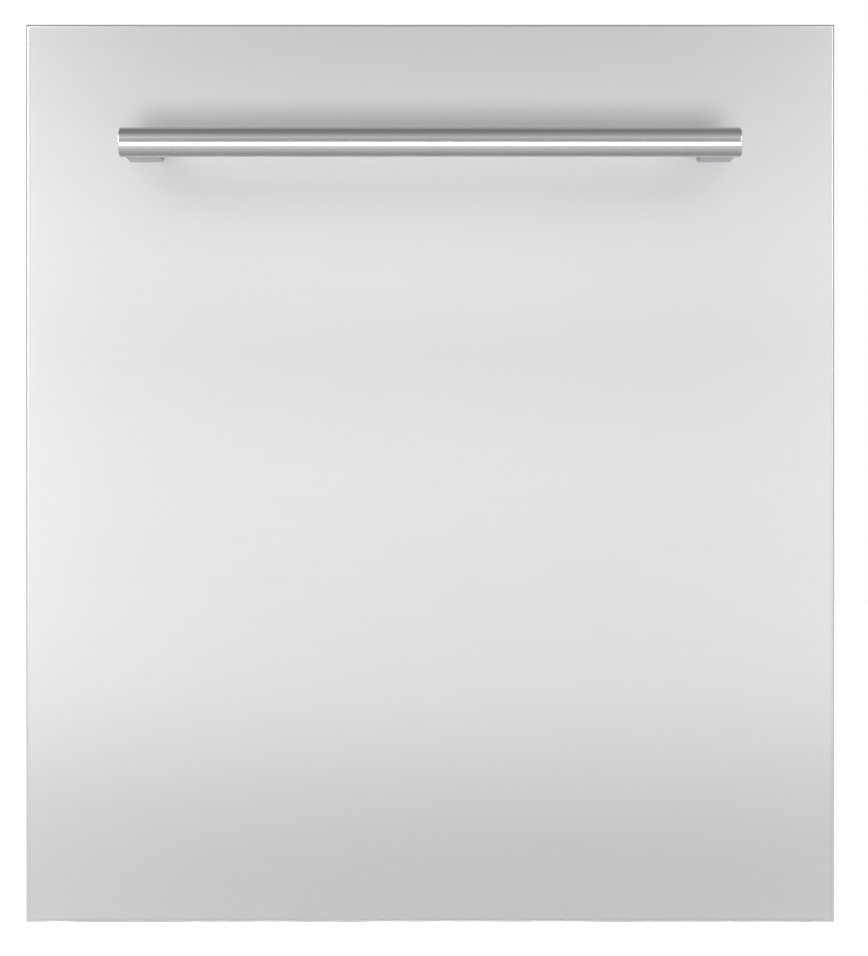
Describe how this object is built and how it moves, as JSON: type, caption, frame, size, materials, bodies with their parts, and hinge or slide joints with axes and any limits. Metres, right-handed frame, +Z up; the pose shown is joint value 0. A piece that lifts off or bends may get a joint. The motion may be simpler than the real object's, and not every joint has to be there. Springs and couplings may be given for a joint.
{
  "type": "built in dishwasher",
  "caption": "Built in dishwasher with a plain steel door, round bar handle, top edge controls, steel tub, pull out baskets, spray arms, pumps, balanced hinges and levelling feet.",
  "frame": {"origin": "on the floor, under the centre of the closed machine's bounding box", "axes": "+X to the right seen from the front, +Y to the back, +Z up, door closed"},
  "size_m": [0.598, 0.63, 0.82],
  "materials": {
    "panel_steel": "fine horizontal grain",
    "handle_steel": "satin",
    "tub_steel": "smooth satin",
    "zinc_steel": "zinc plated",
    "kick_paint": "pale powder coat",
    "dark_plastic": "moulded",
    "strip_plastic": "fine texture",
    "grey_plastic": "moulded",
    "pale_plastic": "moulded",
    "rubber": "matt",
    "bitumen": "pressed sheet",
    "circuit": "coated board",
    "window": "smoked",
    "coated_wire": "nylon coated wire",
    "tray_plastic": "moulded",
    "heater_steel": "bright tube",
    "button_metal": "satin caps"
  },
  "bodies": {
    "cabinet": {"base_tray": "dark_plastic", "tub": "tub_steel", "sump": "dark_plastic", "filter_plate": "tub_steel", "circulation_pump": "dark_plastic", "drain_pump": "grey_plastic", "inlet_valve": "pale_plastic", "riser_tube": "grey_plastic", "heater": "heater_steel", "side_panels": "zinc_steel", "rear_panel": "zinc_steel", "top_cover": "zinc_steel", "counter_brackets": "zinc_steel", "door_gasket": "rubber", "bottom_seal": "rubber", "kick_plate": "kick_paint", "junction_box": "zinc_steel", "upper_rails": "tub_steel", "cutlery_rails": "tub_steel", "latch_strike": "zinc_steel", "hinge_brackets": "zinc_steel", "door_springs": "zinc_steel"},
    "door": {"outer_panel": "panel_steel", "handle_bar": "handle_steel", "handle_posts": "handle_steel", "handle_screws": "zinc_steel", "door_damping_sheet": "bitumen", "door_liner": "tub_steel", "control_panel": "strip_plastic", "control_board": "circuit", "display_window": "window", "hinge_arms": "zinc_steel", "door_latch": "dark_plastic", "dispenser_body": "grey_plastic"},
    "pump_rotor": {"pump_rotor": "zinc_steel"},
    "water_float": {"water_float": "pale_plastic"},
    "filter_cylinder": {"filter_cylinder": "grey_plastic"},
    "foot_front_left": {"foot_front_left": "dark_plastic"},
    "foot_front_right": {"foot_front_right": "dark_plastic"},
    "foot_rear_left": {"foot_rear_left": "dark_plastic"},
    "foot_rear_right": {"foot_rear_right": "dark_plastic"},
    "spring_links": {"spring_links": "zinc_steel"},
    "lower_spray_arm": {"lower_spray_arm": "grey_plastic"},
    "top_spray_arm": {"top_spray_arm": "grey_plastic"},
    "dispenser_lid": {"dispenser_lid": "pale_plastic"},
    "rinse_aid_cap": {"rinse_aid_cap": "dark_plastic"},
    "power_button": {"power_button": "button_metal"},
    "program_button": {"program_button": "button_metal"},
    "option_button": {"option_button": "button_metal"},
    "start_button": {"start_button": "button_metal"},
    "lower_basket": {"lower_basket": "coated_wire"},
    "front_wheels": {"front_wheels": "grey_plastic"},
    "rear_wheels": {"rear_wheels": "grey_plastic"},
    "folding_tines": {"folding_tines": "coated_wire"},
    "upper_basket": {"upper_basket": "coated_wire"},
    "upper_rail_slides": {"upper_rail_slides": "tub_steel"},
    "upper_spray_arm": {"upper_spray_arm": "grey_plastic"},
    "cup_shelf": {"cup_shelf": "tray_plastic"},
    "cutlery_tray": {"cutlery_tray": "tray_plastic"}
  },
  "joints": [
    {"name": "door_hinge", "type": "hinge", "parent": "cabinet", "child": "door", "pos_m": [0, -0.225, 0.168], "axis": [1, 0, 0], "range_deg": [0, 90], "stiffness_Nm_per_rad": 19},
    {"name": "spring_link_slide", "type": "slide", "parent": "cabinet", "child": "spring_links", "axis": [0, -1, 0], "range_m": [0, 0.0422], "deforming": ["door_springs"]},
    {"name": "lower_basket_slide", "type": "slide", "parent": "cabinet", "child": "lower_basket", "axis": [0, -1, 0], "range_m": [0, 0.2045]},
    {"name": "front_wheels_turn", "type": "hinge", "parent": "lower_basket", "child": "front_wheels", "pos_m": [0, -0.025, 0.2165], "axis": [1, 0, 0], "range_deg": [0, 652]},
    {"name": "rear_wheels_turn", "type": "hinge", "parent": "lower_basket", "child": "rear_wheels", "pos_m": [0, 0.225, 0.2165], "axis": [1, 0, 0], "range_deg": [0, 652]},
    {"name": "upper_basket_slide", "type": "slide", "parent": "cabinet", "child": "upper_basket", "axis": [0, -1, 0], "range_m": [0, 0.394]},
    {"name": "upper_rail_slide", "type": "slide", "parent": "cabinet", "child": "upper_rail_slides", "axis": [0, -1, 0], "range_m": [0, 0.197]},
    {"name": "cutlery_tray_slide", "type": "slide", "parent": "cabinet", "child": "cutlery_tray", "axis": [0, -1, 0], "range_m": [0, 0.237]},
    {"name": "folding_tines_hinge", "type": "hinge", "parent": "lower_basket", "child": "folding_tines", "pos_m": [0.1, 0, 0.2495], "axis": [-1, 0, 0], "range_deg": [0, 80]},
    {"name": "cup_shelf_hinge", "type": "hinge", "parent": "upper_basket", "child": "cup_shelf", "pos_m": [-0.24, 0.01, 0.545], "axis": [0, -1, 0], "range_deg": [0, 80]},
    {"name": "lower_arm_spin", "type": "hinge", "parent": "cabinet", "child": "lower_spray_arm", "pos_m": [0, 0.045, 0.212], "axis": [0, 0, 1], "continuous": true},
    {"name": "upper_arm_spin", "type": "hinge", "parent": "upper_basket", "child": "upper_spray_arm", "pos_m": [0, 0.045, 0.421], "axis": [0, 0, 1], "continuous": true},
    {"name": "top_arm_spin", "type": "hinge", "parent": "cabinet", "child": "top_spray_arm", "pos_m": [0, 0.045, 0.758], "axis": [0, 0, 1], "continuous": true},
    {"name": "pump_spin", "type": "hinge", "parent": "cabinet", "child": "pump_rotor", "pos_m": [0.19, 0.06, 0.085], "axis": [1, 0, 0], "continuous": true},
    {"name": "filter_twist", "type": "hinge", "parent": "cabinet", "child": "filter_cylinder", "pos_m": [0.062, -0.01, 0.193], "axis": [0, 0, 1], "range_deg": [0, 90]},
    {"name": "float_rise", "type": "slide", "parent": "cabinet", "child": "water_float", "axis": [0, 0, 1], "range_m": [0, 0.008]},
    {"name": "lid_slide", "type": "slide", "parent": "door", "child": "dispenser_lid", "axis": [0, 0, 1], "range_m": [0, 0.06]},
    {"name": "rinse_cap_turn", "type": "hinge", "parent": "door", "child": "rinse_aid_cap", "pos_m": [0.005, -0.2, 0.47], "axis": [0, 1, 0], "range_deg": [0, 90]},
    {"name": "power_press", "type": "slide", "parent": "door", "child": "power_button", "axis": [0, 0, -1], "range_m": [0, 0.0008], "stiffness_N_per_m": 1500, "springref_m": -0.0005},
    {"name": "program_press", "type": "slide", "parent": "door", "child": "program_button", "axis": [0, 0, -1], "range_m": [0, 0.0008], "stiffness_N_per_m": 1500, "springref_m": -0.0005},
    {"name": "option_press", "type": "slide", "parent": "door", "child": "option_button", "axis": [0, 0, -1], "range_m": [0, 0.0008], "stiffness_N_per_m": 1500, "springref_m": -0.0005},
    {"name": "start_press", "type": "slide", "parent": "door", "child": "start_button", "axis": [0, 0, -1], "range_m": [0, 0.0008], "stiffness_N_per_m": 1500, "springref_m": -0.0005},
    {"name": "foot_front_left_screw", "type": "slide", "parent": "cabinet", "child": "foot_front_left", "axis": [0, 0, -1], "range_m": [-0.005, 0.05]},
    {"name": "foot_front_right_screw", "type": "slide", "parent": "cabinet", "child": "foot_front_right", "axis": [0, 0, -1], "range_m": [-0.005, 0.05]},
    {"name": "foot_rear_left_screw", "type": "slide", "parent": "cabinet", "child": "foot_rear_left", "axis": [0, 0, -1], "range_m": [-0.005, 0.05]},
    {"name": "foot_rear_right_screw", "type": "slide", "parent": "cabinet", "child": "foot_rear_right", "axis": [0, 0, -1], "range_m": [-0.005, 0.05]}
  ],
  "couplings": [
    {"joint": "spring_link_slide", "follows": "door_hinge", "m_per_rad": 0.026738},
    {"joint": "lower_basket_slide", "follows": "door_hinge", "m_per_rad": 0.13},
    {"joint": "front_wheels_turn", "follows": "door_hinge", "ratio": 7.2222},
    {"joint": "rear_wheels_turn", "follows": "door_hinge", "ratio": 7.2222},
    {"joint": "upper_basket_slide", "follows": "door_hinge", "m_per_rad": 0.25},
    {"joint": "upper_rail_slide", "follows": "door_hinge", "m_per_rad": 0.125},
    {"joint": "cutlery_tray_slide", "follows": "door_hinge", "m_per_rad": 0.15}
  ]
}
